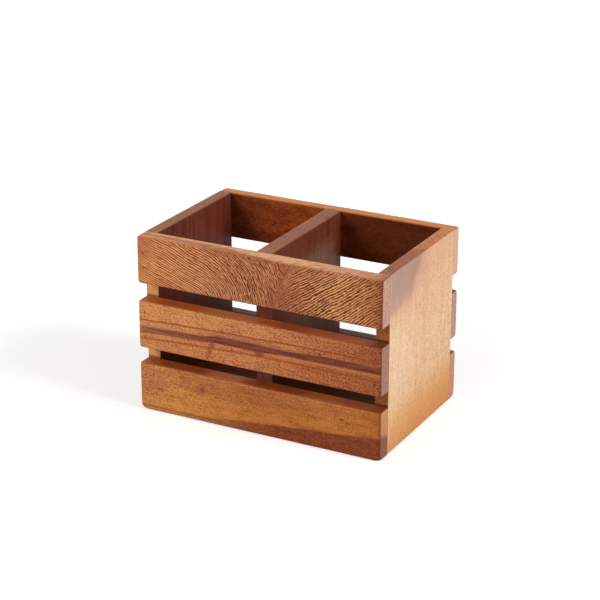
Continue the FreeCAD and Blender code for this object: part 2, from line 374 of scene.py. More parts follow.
@node_group(place=ORIGIN, pith=(0, 40, -60), ring_width=4, wander=3, reach=90)
def growth_rings(place, pith, ring_width, wander, reach):
    """Growth rings of the log: bands of the distance from the pith, which
    wander along the grain. Long faces show streaks and cut ends show arcs."""
    shift = (noise(place / reach) - 0.5) * 2 * wander
    distance = reckon("LENGTH", (place - pith) * (0, 1, 1)) + shift
    return {"bands": rise(noise(distance / ring_width, 3, 0.6), 0.3, 0.7)}


@node_group(place=ORIGIN, length=3, width=0.45, cover=0.3)
def fibres(place, length, width, cover):
    """Fibres and open pores: dark dashes along the grain, and a fine streaky
    mottle between them. The place's x runs along the grain."""
    cells = place / joined(length, width, width)
    edge = 0.72 - cover * 0.4
    return {"pores": rise(noise(cells, 1, 0.4), edge, edge + 0.08),
            "mottle": noise(cells * (0.35, 0.6, 0.6), 4, 0.65)}


@node_group(place=ORIGIN, length=1.5, width=0.6, slope=0)
def speckle(place, length, width, slope):
    """Crowded dashes of light and dark, of a length and a width in millimetres,
    which lie along the grain or cross it at a slope in radians."""
    leaning = turned(place, joined(0, slope, 0))
    return {"dashes": rise(lumps(leaning, joined(length, width, width), 2, 0.6), 0.34, 0.66)}


@node_group(place=ORIGIN, middle=ORIGIN, size=(10, 10, 10), soft=0.4, ragged=0.5, lump=5)
def wood_patch(place, middle, size, soft, ragged, lump):
    """A stained patch, knot or fleck: 1 near its middle and 0 outside its
    size, with an edge as soft and as ragged as asked."""
    rag = (noise(place / lump, 3) - 0.5) * 2 * ragged
    distance = reckon("LENGTH", (place - middle) / size) + rag
    return {"patch": fall(distance, 1 - soft, 1 + soft)}


@node_group(colour="a06040", eased=0, deep="704028", strength=0.5)
def edge_wear(colour, eased, deep, strength):
    """Wear at the eased edges, which take more oil and turn to a deeper tone."""
    return {"colour": stain(colour, rise(eased, 0.15, 0.9), deep, strength)}


@node_group(height=0)
def gap_foot_shade(height):
    """Painted shade on a panel's edge in the gaps between the slats: the foot
    of each gap, just above the slat below it."""
    tops = [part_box(f"front_{level}_slat")[1][2] / MM for level in ("bottom", "middle")]
    lower, upper = (rise(height, top - 1.5, top - 0.5) * fall(height, top + 0.3, top + 2.2)
                    for top in tops)
    return {"painted_shade": lower + upper}


@node_group(place=ORIGIN, turn=0)
def cut_rays(place, turn):
    """The texture of a cut end at the rim: slanting strokes of light and dark,
    turned by an angle about the upright axis."""
    return {"rays": lumps(turned(place, joined(0, 0, turn)), (1.5, 6, 3), 3, 0.6)}


def start_material(title):
    """Begin a material: it, with an empty shader tree, and the place on the
    caddy in millimetres."""
    material = bpy.data.materials.new(title)
    material.use_nodes = True
    tree = material.node_tree
    tree.nodes.clear()
    return material, Layer(put(tree, "ShaderNodeTexCoord").outputs["Object"]) * (1 / MM)


def finish_material(colour, roughness, gloss, height, depth, strength, metallic=0.0):
    """End a material with its shader. The height makes a relief of a depth in
    millimetres."""
    tree = colour.tree
    bump = layer("ShaderNodeBump", {"Strength": strength, "Distance": depth * MM,
                                    "Height": height}, "Normal")
    shader = put(tree, "ShaderNodeBsdfPrincipled",
                 {"Base Color": colour, "Roughness": roughness, "Specular IOR Level": gloss,
                  "Metallic": metallic, "Normal": bump})
    put(tree, "ShaderNodeOutputMaterial", {"Surface": Layer(shader.outputs[0])})


SEED_SHIFT = (37, 11, 17)
CUT_FADE, CUT_FULL = 0.45, 0.12


class Timber:
    """A wood material in the making: the place on the caddy in millimetres,
    whole and as x, y and z; the place with x turned along the grain (X or Z)
    and moved by the seed; a mask of the two cut ends of the fibres; and the
    colour that has been laid so far."""

    def __init__(self, title, node, grain, seed):
        self.material, self.place = start_material(title)
        self.x, self.y, self.z = parts(self.place)
        turn = (0, 0 if grain == "X" else math.pi / 2, 0)
        shift = tuple(seed * step for step in SEED_SHIFT)
        self.along = layer("ShaderNodeMapping", {"Vector": self.place, "Rotation": turn,
                                                 "Location": shift})
        low, high = (corner["XYZ".index(grain)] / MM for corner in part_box(node))
        half = (high - low) / 2
        from_middle = (self.x if grain == "X" else self.z) - (low + high) / 2
        self.cut = rise(reckon("ABSOLUTE", from_middle), half - CUT_FADE, half - CUT_FULL)

    def cover(self, mask, colour):
        """Lay another colour where a mask shows."""
        self.colour = blend(mask, self.colour, colour)

    def stain(self, mask, code, strength):
        """Lay a tone where a mask shows."""
        self.colour = stain(self.colour, mask, code, strength)

    def spot(self, soft, ragged, lump, *spots):
        """Stain spots: (middle, size, tone, strength) of each."""
        for middle, size, code, strength in spots:
            patch = wood_patch(self.place, middle, size, soft, ragged, lump)
            self.stain(patch, code, strength)

    def finish(self, end, height, edge, wear=0.5):
        """End with an oiled satin surface, duller in the pores, whose cut ends
        have a colour of their own and whose worn edges turn to the edge tone."""
        if end:
            self.cover(self.cut, end)
        eased = put(self.place.tree, "ShaderNodeAttribute", attribute_name="eased").outputs["Fac"]
        colour = edge_wear(self.colour, Layer(eased), edge, wear)
        finish_material(colour, 0.58 - height * 0.12, gloss=0.14, height=height, depth=0.12,
                        strength=0.6)
        return self.material


PANEL_RADII = ((1.0, 1.0), (JOINT_RADIUS, JOINT_RADIUS), (1.0, 1.0))
PANEL_FOOT = ((1.7, 1.7), (JOINT_RADIUS, JOINT_RADIUS), (1.7, 1.0))


def left_panel_wood():
    """Dark red-brown heartwood inside, with purple upright streaks, and a tan
    outer face. The rim is greyer, and the edges between the slats are pale."""
    wood = Timber("left panel wood", "left_end_panel", "Z", 1)
    rings = growth_rings(wood.along, (0, 70, 40), 3.4, 6, 70)
    fine = fibres(wood.along, 5, 0.5, 0.3)
    streaks = lumps(wood.along, (60, 4, 4), 3, 0.6)
    depth = rings * 0.35 + streaks * 0.8 + fine.mottle * 0.7 - 0.45
    inner = blend(depth, "8b412a", "4e1f18")
    inner = stain(inner, rise(lumps(wood.along, (80, 7, 7)), 0.52, 0.7), "4a2622", 0.5)
    # Painted light: the inner face made paler low down, more so towards the back.
    low = fall(wood.z, 45, 92) * rise(wood.y, -50, 10, 0.5, 1)
    inner = stain(inner, low, "a87058", 0.5)
    outer = blend(depth, "c98d62", "96583a")
    wood.colour = blend(rise(wood.x, -90.5, -87.5), outer, inner)
    wood.stain(fine.pores, "3a1812", 0.45)
    tan = blend(fine.mottle + rings * 0.3 - 0.3, "f0b47e", "ca8552")
    # Painted shade at the foot of each gap on the pale front edge.
    tan = stain(tan, gap_foot_shade(wood.z), "5a2c14", 0.7)
    wood.cover(fall(wood.y, -49.35, -49.1), tan)
    slant = wood.y - wood.x * 1.1
    rim = tone_run(slant, (45, "a36540"), (70, "9c5f3d"), (100, "a06140"), (128, "975d40"),
                   (150, "a0633c"))
    grey = between(slant + lumps(wood.place, 6) * 6, 114, 120, 1.5)
    rim = stain(rim, grey, "7c5a50", 0.8)
    rim = stain(rim, fall(wood.x, -90.8, -89.6), "85695a", 0.55)
    rim = blend(cut_rays(wood.place, -0.8) * 3.4 - 1.58, rim, "7d4632")
    return wood.finish(rim, 1 - fine.pores, "7a4632", 0.35)


def right_panel_wood():
    """Pale peach sapwood with upright pores, golden at the foot, and a mauve
    patch of heartwood that sweeps over the upper front corner. The inner face
    is brown. The rim has red-brown, grey-brown and orange bands."""
    wood = Timber("right panel wood", "right_end_panel", "Z", 2)
    rings = growth_rings(wood.along, (0, -30, 60), 6, 7, 80)
    fine = fibres(wood.along, 2.6, 0.9, 0.3)
    hairs = fibres(wood.along, 1.1, 0.8, 0.36)
    dots = speckle(wood.along, 1.6, 1.1)
    lines = lumps(wood.along, (26, 1.5, 1.5), 3, 0.7)
    cloud = lumps(wood.place, (30, 16, 22))
    depth = (rings * 0.22 + fine.mottle * 0.8 + cloud * 0.35 + dots * 0.35 + lines * 1.35
             - 1.17)
    foot = wood.z + cloud * 16 + rise(wood.y, -60, 10, 10, 1.5)
    ground = tone_run(foot, (8, "d49256"), (20, "d69760"), (34, "e1ab75"), (48, "ebc69f"),
                      (80, "f0cfac"), (112, "e9bf9c"), (135, "e2b491"))
    warm = tone_run(foot, (8, "c57b3c"), (48, "d59e69"), (135, "d19b76"))
    wood.colour = blend(depth, ground, warm)
    wood.stain(fine.pores, "c08454", 0.4)
    wood.stain(hairs.pores, "bc7c4e", 0.5)
    wood.spot(0.5, 0.4, 10, ((90, -36, 64), (60, 28, 27), "fbe6cc", 0.14))
    edge, core, halo, ring = (
        wood_patch(wood.place, (90, -42.5, 139), size, soft, 0.12, 14)
        for size, soft in (((60, 47, 41), 0.12), ((60, 30, 30), 0.35), ((60, 58, 46), 0.12),
                           ((60, 42, 35), 0.12)))
    wood.stain(halo * rise(wood.y, -40, -5), "d29a80", 0.55)
    mauve = blend(fine.mottle * 1.2 + cloud * 0.5 - 0.5, "bf9887", "a4796b")
    mauve = stain(mauve, within(ring - core) * rise(wood.y, -34, -16), "a06c5a", 0.5)
    mauve = stain(mauve, core, "99837a", 0.55)
    wood.cover(edge * 0.9, mauve)
    wood.spot(0.6, 0.4, 8, ((90, 6, 95), (60, 5, 50), "d09a7a", 0.35))
    wood.stain(fall(wood.y, -48.6, -47.4), "f0cfa4", 0.3)
    inner = blend(depth, "b87850", "8c5234")
    wood.colour = blend(rise(wood.x, 84, 87), inner, wood.colour)
    edge_wood = blend(fine.mottle + rings * 0.3 + dots * 0.4 - 0.6, "bf7339", "733a18")
    # Painted shade at the foot of each gap on the front edge.
    edge_wood = stain(edge_wood, gap_foot_shade(wood.z), "341408", 0.85)
    wood.cover(fall(wood.y, -49.35, -49.1), edge_wood)
    bent = wood.y + lumps(wood.place, 7) * 3
    rim = tone_run(bent + wood.x * 0.9, (28, "a26240"), (36.4, "a3623e"), (37.6, "805b43"),
                   (43.4, "7e5943"), (44.6, "a05939"), (62, "9f5b3e"), (80, "a3613d"))
    behind = bent - wood.x * 1.1
    back_rim = tone_run(behind, (-105, "a3613d"), (-95, "c27847"), (-60, "ca8049"),
                        (-40, "ce854c"))
    rim = blend(rise(behind, -93, -86), rim, back_rim)
    rim = blend(cut_rays(wood.place, -0.8) * 3.4 - 1.65, rim, "7c4428")
    height = within(1 - fine.pores * 0.8 - hairs.pores * 0.4)
    return wood.finish(rim, height, "b98058", 0.3)


eased_board("left_end_panel", PANEL_RADII, 1.0, left_panel_wood(), foot=PANEL_FOOT)
eased_board("right_end_panel", PANEL_RADII, 2.0, right_panel_wood(), foot=PANEL_FOOT)


# --- Bottom slats ------------------------------------------------------------
# The lowest acacia boards at the front and the back. They hold the rim of the
# base board in a groove, and are glued and nailed to the panels' edges.

SLAT_RADII = {"bottom": (1.1, 1.3, 1.3), "middle": (1.1, 1.3, 1.3), "top": (1.4, 1.5, 2.2)}
SLAT_FOOT = 0.9
FOOT_RADII = {"front": (1.7, 1.3, 1.7), "back": (1.9, 2.2, 2.4)}
BRAD_HOLLOW, BRAD_SINK = 1.1 * MM, 0.22 * MM
LOW, HIGH = -1, 1
OUTWARD = {"front": LOW, "back": HIGH}
ACROSS_Y, ACROSS_Z = 1, 2


def plug_middles(side, level):
    """Middles (x, z) of the four filler plugs in one slat."""
    low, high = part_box(f"{side}_{level}_slat")
    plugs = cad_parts[f"{side}_brad_fillers"].data
    places = np.empty(len(plugs.vertices) * 3)
    plugs.vertices.foreach_get("co", places)
    places = places.reshape(-1, 3)
    inside = places[(places[:, 2] > low[2]) & (places[:, 2] < high[2])]
    middles = []
    for end in (LOW, HIGH):
        column = inside[inside[:, 0] * end > 0]
        split = (column[:, 2].min() + column[:, 2].max()) / 2
        for plug in (column[column[:, 2] < split], column[column[:, 2] > split]):
            middle = (plug.min(axis=0) + plug.max(axis=0)) / 2
            middles.append((float(middle[0]), float(middle[2])))
    return middles


def slat(side, level, seed, material):
    """One slat with sanded outer edges and a shallow hollow at each brad."""
    outward = OUTWARD[side]
    sinks = [(ACROSS_Y, outward, x, z, BRAD_HOLLOW, BRAD_SINK)
             for x, z in plug_middles(side, level)]

    def radii(ends, skin, foot, top):
        return (ends, ends), (skin, JOINT_RADIUS)[::-outward], (foot, top)

    ends, skin, top = SLAT_RADII[level]
    upper = radii(ends, skin, SLAT_FOOT, top)
    ends, skin, sole = FOOT_RADII[side]
    foot = radii(ends, skin, sole, top) if level == "bottom" else None
    eased_board(f"{side}_{level}_slat", upper, seed, material, sinks, foot)


@node_group(pale="c58a58", deep="8c5230", depth=0.5, pores=0, pore_tone="5a2a14")
def pored_wood(pale, deep, depth, pores, pore_tone):
    """Pale and deep tones mixed by a depth, with dark pores over them."""
    return {"colour": stain(blend(depth, pale, deep), pores, pore_tone, 0.45)}


@node_group(place=ORIGIN)
def cut_grit(place):
    """The open, speckled texture of a slat's sawn end."""
    return {"grit": rise(lumps(place, 2.2, 3, 0.65), 0.36, 0.64)}


@node_group(height=0, top=0)
def shaded_upper_face(height, top):
    """A mask of a slat's upper face, where painted shade is laid."""
    return {"shade": rise(height, top - 0.4, top - 0.12)}


@node_group(colour="a06040", place=ORIGIN, strength=0.5)
def shaded_right_end(colour, place, strength):
    """A colour that turns darker and redder over the last millimetres before
    the right-hand end: painted shade on its rounded edge."""
    ragged = parts(place)[0] + lumps(place, (2, 2, 4)) * 3
    return {"colour": stain(colour, rise(ragged, 90, 94), "4c1a10", strength)}


@node_group(colour="a06040", place=ORIGIN, across=85, lower=10, upper=20, bruise="5e3a2e",
            strength=0.6)
def brad_bruise(colour, place, across, lower, upper, bruise, strength):
    """The greyed, bruised wood round a slat's four brads, which lie across
    millimetres from the middle at a lower and an upper height: its mask falls
    off with the distance to the nearest one, and is ragged."""
    x, _, z = parts(place)
    aside = reckon("ABSOLUTE", x) - across
    near = [reckon("LENGTH", joined(aside, z - height, 0)) for height in (lower, upper)]
    ragged = reckon("MINIMUM", *near) + lumps(place, 1.8) * 1.8
    mask = fall(ragged, 1.2, 2.6) * rise(x, -1, 1, 0.6, 1)
    return {"colour": stain(colour, mask, bruise, strength)}


def bruise(wood, side, level, code="5e3a2e", strength=0.6):
    """Lay the brad bruises of one slat."""
    middles = plug_middles(side, level)
    lower, upper = sorted({round(z / MM, 2) for _, z in middles})
    wood.colour = brad_bruise(wood.colour, wood.place, abs(middles[0][0]) / MM, lower, upper,
                              code, strength)


def top_shade(wood, node):
    """The mask of the painted shade on the upper face of one slat."""
    return shaded_upper_face(wood.z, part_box(node)[1][2] / MM)


def shade_and_light_top(wood, node, stops, lit_patches):
    """Give the upper face painted shade, in tones that follow one another from
    left to right, and paler patches of painted light: (x, half length, tone) of each."""
    tones = tone_run(wood.x, *stops)
    for x, half, code in lit_patches:
        patch = wood_patch(wood.place, (x, 0, 0), (half, 900, 900), 0.5, 0.6, 7)
        tones = blend(patch, tones, code)
    wood.cover(top_shade(wood, node) * 0.85, tones)


def front_bottom_wood():
    """Golden brown, with a dark red-brown band that rises to the right along
    the foot, brown clouds, one small knot and one dark fleck."""
    wood = Timber("front bottom wood", "front_bottom_slat", "X", 3)
    fine = fibres(wood.along, 3, 0.5, 0.28)
    dashes = speckle(wood.along, 1.2, 0.6, 0.15)
    dashes = dashes * rise(lumps(wood.along, (12, 5, 4)), 0.35, 0.65, 0.6, 1)
    strands = lumps(wood.along, (24, 1.3, 1.3), 4, 0.7)
    cloud = lumps(wood.along, (26, 12, 6), 3, 0.6)
    depth = fine.mottle * 0.8 + dashes + cloud * 0.95 + strands * 1.5 - 1.7
    pale = tone_run(wood.x, (-92, "e4985a"), (-60, "e4994f"), (-20, "d48944"), (30, "cc7e38"),
                    (70, "cf813d"), (92, "bd6f36"))
    deep = tone_run(wood.x, (-92, "a05a30"), (-40, "a85e28"), (20, "944a18"), (92, "9a501a"))
    wood.colour = pored_wood(pale, deep, depth, fine.pores, "6a3412")
    brown = wood_patch(wood.place, (-8, -60, 28.5), (60, 30, 7.5), 0.6, 0.8, 6)
    wood.stain(brown * rise(strands, 0.35, 0.65, 0.6, 1), "944c2c", 0.55)
    wood.spot(0.6, 0.8, 5, ((-88, -60, 23), (18, 30, 10), "a05c40", 0.3))
    wood.spot(0.45, 0.35, 1.5, ((-42.6, -60, 24), (1.5, 9, 1.4), "6a3018", 0.7),
              ((-43, -60, 24.5), (4.2, 9, 3.2), "8c4828", 0.4),
              ((63.9, -60.5, 24.6), (1.5, 3, 0.55), "33150c", 0.95),
              ((-58, -60, 29), (3, 9, 1.4), "8c4a2a", 0.5),
              ((-76, -60, 17.5), (2.4, 9, 0.9), "8a4c30", 0.5))
    specks = rise(lumps(wood.along, (1.7, 1.2, 1.2)), 0.56, 0.63)
    specks = specks * rise(wood.z - wood.x * 0.12, 12, 26)
    wood.stain(specks, "84402a", 0.75)
    wood.stain(fall(dashes, 0, 0.3) * brown, "d08a58", 0.35)
    shore = (wood.z - wood.x * 0.089 + lumps(wood.along, (22, 6, 3), 3) * 2.4
             + strands * rise(wood.x, -50, 50, 7, 2) - rise(wood.x, -50, 50, 3, 1))
    band = fall(shore, 8.4, 10.8) * rise(wood.x, -60, 30, 0.4, 1)
    dark_dashes = speckle(wood.along, 1.4, 0.6)
    dark = blend(dark_dashes + fine.mottle * 0.9 - 0.6, "984a2a", "541a0c")
    blotch = rise(lumps(wood.along, (12, 5, 2.5), 3), 0.48, 0.66)
    dark = stain(dark, blotch, "542a22", 0.55)
    wood.cover(band * 0.94, dark)
    flow = wood.z + lumps(wood.along, (30, 9, 9)) * 1.6
    thin = between(flow, 3.6, 4.6, 0.4) * fall(wood.x, -40, -20)
    wood.stain(thin, "8a4420", 0.6)
    # The end face turns greyer and darker low down: painted shade near the foot.
    end = tone_run(wood.z + wood.y * 0.35, (-9, "82543e"), (-5, "80543e"), (-3.8, "8c5a46"),
                   (-2.2, "b0705a"), (-0.8, "c5845a"), (10, "c88c5e"))
    end = blend(cut_grit(wood.place) * 0.55 + fine.mottle * 0.9 - 0.6, end, "8a5238")
    # Painted shade on the rounded right-hand end.
    wood.colour = shaded_right_end(wood.colour, wood.place, 0.5)
    bruise(wood, "front", "bottom", "7e4638", 0.45)
    # Painted shade on the upper face, with paler patches of painted light.
    shade_and_light_top(wood, "front_bottom_slat",
            [(-92, "b05e36"), (-76, "9a4016"), (10, "8f4018"), (70, "9c4e26"), (86, "6c3018")],
            [(-26, 14, "cc7850"), (48, 14, "b86636")])
    return wood.finish(end, 1 - fine.pores, "6a3018")


def back_bottom_wood():
    """Evenly streaked rosy brown with flowing growth rings."""
    wood = Timber("back bottom wood", "back_bottom_slat", "X", 4)
    rings = growth_rings(wood.along, (0, 90, 20), 3, 7, 60)
    fine = fibres(wood.along, 3.2, 0.5, 0.3)
    dashes = speckle(wood.along, 2, 0.9)
    depth = within(rings * 0.5 + fine.mottle * 0.9 + dashes * 0.3 - 0.6)
    wood.colour = pored_wood("c58a58", "8c5230", depth, fine.pores, "5a2a14")
    end = blend(cut_grit(wood.place) * 0.6 + depth * 0.5 - 0.25, "ca9374", "a36e4f")
    bruise(wood, "back", "bottom")
    # Painted shade on the upper face, under the slat above.
    wood.stain(top_shade(wood, "back_bottom_slat"), "55352a", 0.7)
    return wood.finish(end, 1 - fine.pores, "70402a")


slat("front", "bottom", 3.0, front_bottom_wood())
slat("back", "bottom", 4.0, back_bottom_wood())


# --- Base board --------------------------------------------------------------
# The floor of both compartments, a plain acacia board whose rim lies in the
# groove. Three brads go up through it into the divider, each in a small hollow.

DIVIDER_BRAD_PLACES = ((0.0, -33.1), (0.0, 0.9), (0.0, 34.9))
HEAD_HOLLOW, HEAD_SINK = 1.7 * MM, 0.35 * MM
BASE_RADII = ((0.4, 0.4), (0.4, 0.4), (0.4, 0.4))


def base_wood():
    """Plain brown board with flat-sawn grain along the caddy."""
    wood = Timber("base wood", "base_board", "X", 5)
    rings = growth_rings(wood.along, (0, 55, -40), 5, 14, 90)
    fine = fibres(wood.along, 4, 0.5, 0.32)
    depth = rings * 0.65 + fine.mottle * 0.9 - 0.6
    wood.colour = pored_wood("8a5230", "522a18", depth, fine.pores, "3c1c10")
    return wood.finish(None, 1 - fine.pores, "5a3020")


base_sinks = [(ACROSS_Z, LOW, x * MM, y * MM, HEAD_HOLLOW, HEAD_SINK)
              for x, y in DIVIDER_BRAD_PLACES]
eased_board("base_board", BASE_RADII, 5.0, base_wood(), base_sinks)


# --- Centre divider ----------------------------------------------------------
# A thicker upright acacia board that stands on the base between the
# compartments. It is glued to the slats and held from below by brads.

DIVIDER_RADII = ((0.9, 0.9), (JOINT_RADIUS, JOINT_RADIUS), (JOINT_RADIUS, 0.9))


def divider_wood():
    """Red-brown board with upright streaks, made paler and greyer low down at
    the back by painted light, and a mauve-brown rim."""
    wood = Timber("divider wood", "centre_divider", "Z", 6)
    rings = growth_rings(wood.along, (0, 55, 60), 3.6, 5, 80)
    fine = fibres(wood.along, 4.5, 0.45, 0.3)
    streaks = lumps(wood.along, (70, 5, 5), 3, 0.6)
    depth = rings * 0.3 + fine.mottle * 0.9 + streaks * 0.7 - 0.6
    wood.colour = blend(depth, "814029", "4e1e14")
    wood.spot(0.7, 0.5, 9, ((6, 20, 96), (40, 26, 14), "93705c", 0.5))
    # Painted light: paler and greyer low down, more so towards the back.
    low = fall(wood.z, 60, 96) * rise(wood.y, -50, -10, 0.2, 1)
    wood.stain(low, "b48468", 0.5)
    wood.stain(fine.pores, "3c1810", 0.5)
    rim = tone_run(wood.y - wood.x * 0.8, (-52, "a86240"), (-30, "9c5a3d"), (0, "98563b"),
                   (22, "a05e36"), (34, "8f5740"), (50, "9b5c3f"))
    rim = blend(cut_rays(wood.place, -0.7) * 3.4 - 1.58, rim, "74402e")
    return wood.finish(rim, 1 - fine.pores, "7a4230", 0.4)


eased_board("centre_divider", DIVIDER_RADII, 6.0, divider_wood())


# --- Middle slats ------------------------------------------------------------
# The second row of acacia slats, glued and nailed a finger's width above the
# bottom ones. They are the same boards as those, without the groove.


@node_group(place=ORIGIN, height=60, thickness=2, soft=0.4, waver=1, run=24)
def flowing_streak(place, height, thickness, soft, waver, run):
    """A streak that flows along a slat at its own height: 1 on the streak, and
    0 beyond half its thickness above or below."""
    bend = noise(place / joined(run, 9, 9), 4, 0.6) - 0.5
    rough = noise(place / (1.8, 0.6, 0.6)) - 0.5
    away = reckon("ABSOLUTE", parts(place)[2] - height + bend * 2 * waver + rough)
    return {"streak": fall(away, thickness / 2 - soft, thickness / 2 + soft)}


def height_run(value, *stops):
    """A height in millimetres that changes smoothly along a value: stops are
    (value, height)."""
    levels = [height for _, height in stops]
    bottom, top = min(levels) - 1, max(levels) + 1
    low, high = stops[0][0], stops[-1][0]
    curve = put(value.tree, "ShaderNodeFloatCurve", {"Value": share(value, stops)})
    points = curve.mapping.curves[0].points
    while len(points) < len(stops):
        points.new(0.5, 0.5)
    for point, (at, height) in zip(points, stops):
        point.location = ((at - low) / (high - low), (height - bottom) / (top - bottom))
    curve.mapping.update()
    return Layer(curve.outputs[0]) * (top - bottom) + bottom


def front_middle_wood():
    """Golden orange at the left and redder at the right, crowded with short
    speckles, with one dark purple-brown streak, thinner red lines above and
    below it, and red smudges between them."""
    wood = Timber("front middle wood", "front_middle_slat", "X", 7)
    fine = fibres(wood.along, 2.2, 0.6, 0.3)
    dashes = speckle(wood.along, 1.5, 0.55, 0.4)
    strands = lumps(wood.along, (9, 0.8, 0.8), 4, 0.7)
    cloud = lumps(wood.along, (14, 8, 5), 3, 0.6)
    depth = dashes * 1.3 + fine.mottle * 0.7 + cloud * 0.8 + strands * 2.4 - 2.31
    pale = tone_run(wood.x, (-92, "e8a062"), (-50, "e49b60"), (0, "df945d"), (45, "cd7f4b"),
                    (92, "a75a34"))
    deep = tone_run(wood.x, (-92, "a45a28"), (-50, "a25624"), (0, "8b441d"), (92, "6d2c0e"))
    low = fall(wood.z, 58, 66)
    pale = stain(pale, low, "cc7440", 0.35)
    pale = stain(pale, low * rise(wood.x, 10, 60), "a0521e", 0.35)
    wood.colour = pored_wood(pale, deep, depth, fine.pores, "7a3a1c")
    wood.stain(fall(dashes, 0.02, 0.3), "e8a464", 0.33)
    upper = height_run(wood.x, (-92, 66.8), (-22, 69.2), (12, 69.9), (55, 70.7), (92, 69.8))
    lower = height_run(wood.x, (-92, 53.4), (-62, 54.9), (-37, 56.1), (0, 57.4), (38, 57.4),
                       (92, 56.5))
    broad = height_run(wood.x, (-92, 61), (-40, 62.6), (0, 60.2), (92, 60.6))
    for height, thickness, soft, code, strength in (
            (upper, 1.3, 0.5, "9c452a", 0.85), (lower, 1.4, 0.6, "9c442a", 0.75),
            (broad, 2.8, 1.6, "b0603a", 0.35)):
        wood.stain(flowing_streak(wood.place, height, thickness, soft, 0.7), code, strength)
    middle = height_run(wood.x, (-92, 59.9), (-67, 60.75), (-42, 61.5), (-29.5, 63), (8, 63.1),
                        (33, 63.6), (58, 64.25), (92, 64))
    thick = height_run(wood.x, (-92, 4.8), (-67, 4.5), (-42, 4.3), (-29.5, 5.2), (-4.5, 5.5),
                       (20.5, 3.9), (52, 5.1), (92, 3.9))
    halo = flowing_streak(wood.place, middle + 1.6, thick + 2.6, 1.6, 0.6, 30)
    wood.stain(halo * between(wood.x, -45, 20, 14), "8e4c34", 0.35)
    glow = flowing_streak(wood.place, middle - 3.2, 2.2, 0.9, 0.5, 30)
    wood.stain(glow * rise(wood.x, 0, 20), "d8884a", 0.45)
    dark = flowing_streak(wood.place, middle, thick, 0.75, 0.35, 40)
    streak = blend(dashes * 0.75 + fine.mottle * 0.6 - 0.4,
                   tone_run(wood.x, (-92, "b87454"), (-55, "98503a"), (-20, "8c4632"),
                            (92, "8c4834")),
                   tone_run(wood.x, (-92, "8c4a34"), (-50, "5c2418"), (92, "5a2218")))
    streak = stain(streak, rise(lumps(wood.along, (20, 1.6, 1.3)), 0.45, 0.62), "45201e", 0.65)
    wood.cover(dark * 0.95, streak)
    wood.spot(0.6, 0.5, 2.2, ((-33.9, -60, 58.4), (2, 9, 2.4), "96402a", 0.75),
              ((-36.2, -60, 54), (1.2, 9, 3.8), "9a4426", 0.75),
              ((-38, -60, 49), (1, 9, 3.2), "9c4a2c", 0.6),
              ((2, -60, 59), (3.2, 9, 1.8), "903a28", 0.85),
              ((-26.5, -60, 69.6), (1.8, 9, 0.7), "8c3c20", 0.6))
    end = blend(cut_grit(wood.place) * 0.6 + fine.mottle * 0.9 - 0.6, "a77966", "7c5141")
    # Painted shade on the rounded right-hand end.
    wood.colour = shaded_right_end(wood.colour, wood.place, 0.35)
    bruise(wood, "front", "middle", "60392c", 0.75)
    # Painted shade on the upper face, with paler patches of painted light.
    shade_and_light_top(wood, "front_middle_slat",
            [(-92, "bc6026"), (-70, "ac4a12"), (20, "9e3e10"), (76, "a04a1c"), (86, "602a12")],
            [(-18, 28, "c06626"), (54, 17, "b65824")])
    return wood.finish(end, 1 - fine.pores, "6c2e18")


def back_middle_wood():
    """A darker, greyish heartwood slat with straight streaks."""
    wood = Timber("back middle wood", "back_middle_slat", "X", 8)
    rings = growth_rings(wood.along, (0, -20, 140), 2.4, 4, 80)
    fine = fibres(wood.along, 3, 0.45, 0.34)
    dashes = speckle(wood.along, 2, 0.9)
    depth = within(rings * 0.6 + fine.mottle * 0.8 + dashes * 0.3 - 0.6)
    wood.colour = pored_wood("a8714e", "663a28", depth, fine.pores, "3c1e14")
    end = blend(cut_grit(wood.place) * 0.6 + depth * 0.5 - 0.25, "b89483", "926e5a")
    bruise(wood, "back", "middle", "50382e")
    # Painted shade on the upper face, under the slat above.
    wood.stain(top_shade(wood, "back_middle_slat"), "4a3026", 0.75)
    return wood.finish(end, 1 - fine.pores, "5c3424")


slat("front", "middle", 7.0, front_middle_wood())
slat("back", "middle", 8.0, back_middle_wood())


# --- Top slats ---------------------------------------------------------------
# The acacia slats of the rim, fixed like the others. The front one is cut
# across a fork of the tree, where the grain from each side sweeps up to a seam
# and ripples like fish scales.


@node_group(place=ORIGIN, pivot=ORIGIN, heading=(1, 0, 0), spacing=1.2, wiggle=0.5, broken=0.5)
def grain_ripples(place, pivot, heading, spacing, wiggle, broken):
    """Fine dark ripples round a half-line: their number is the distance from
    the line over the spacing, so they run straight beside it and turn round
    its end. Wiggle bends them and broken parts them into dashes."""
    x, depth, z = parts(place)
    flat = (place - pivot) * (1, 0, 1)
    past = reckon("MAXIMUM", reckon("DOT_PRODUCT", flat, heading), 0)
    small = (lumps(place, 3.4) - 0.5) * 2 * wiggle
    broad = (lumps(place, 30, 1) - 0.5) * 6
    distance = reckon("LENGTH", flat - heading * past) + depth * 0.5 + small + broad
    count = distance / spacing
    count = count + noise(count * 0.37) * 1.2
    wave = reckon("SINE", count * (2 * math.pi))
    gaps = (lumps(joined(distance, x, z), (1.2, 4, 4), 3, 0.65) - 0.5) * 7
    return {"ripples": rise(wave + gaps * broken, -0.45, 0.5)}


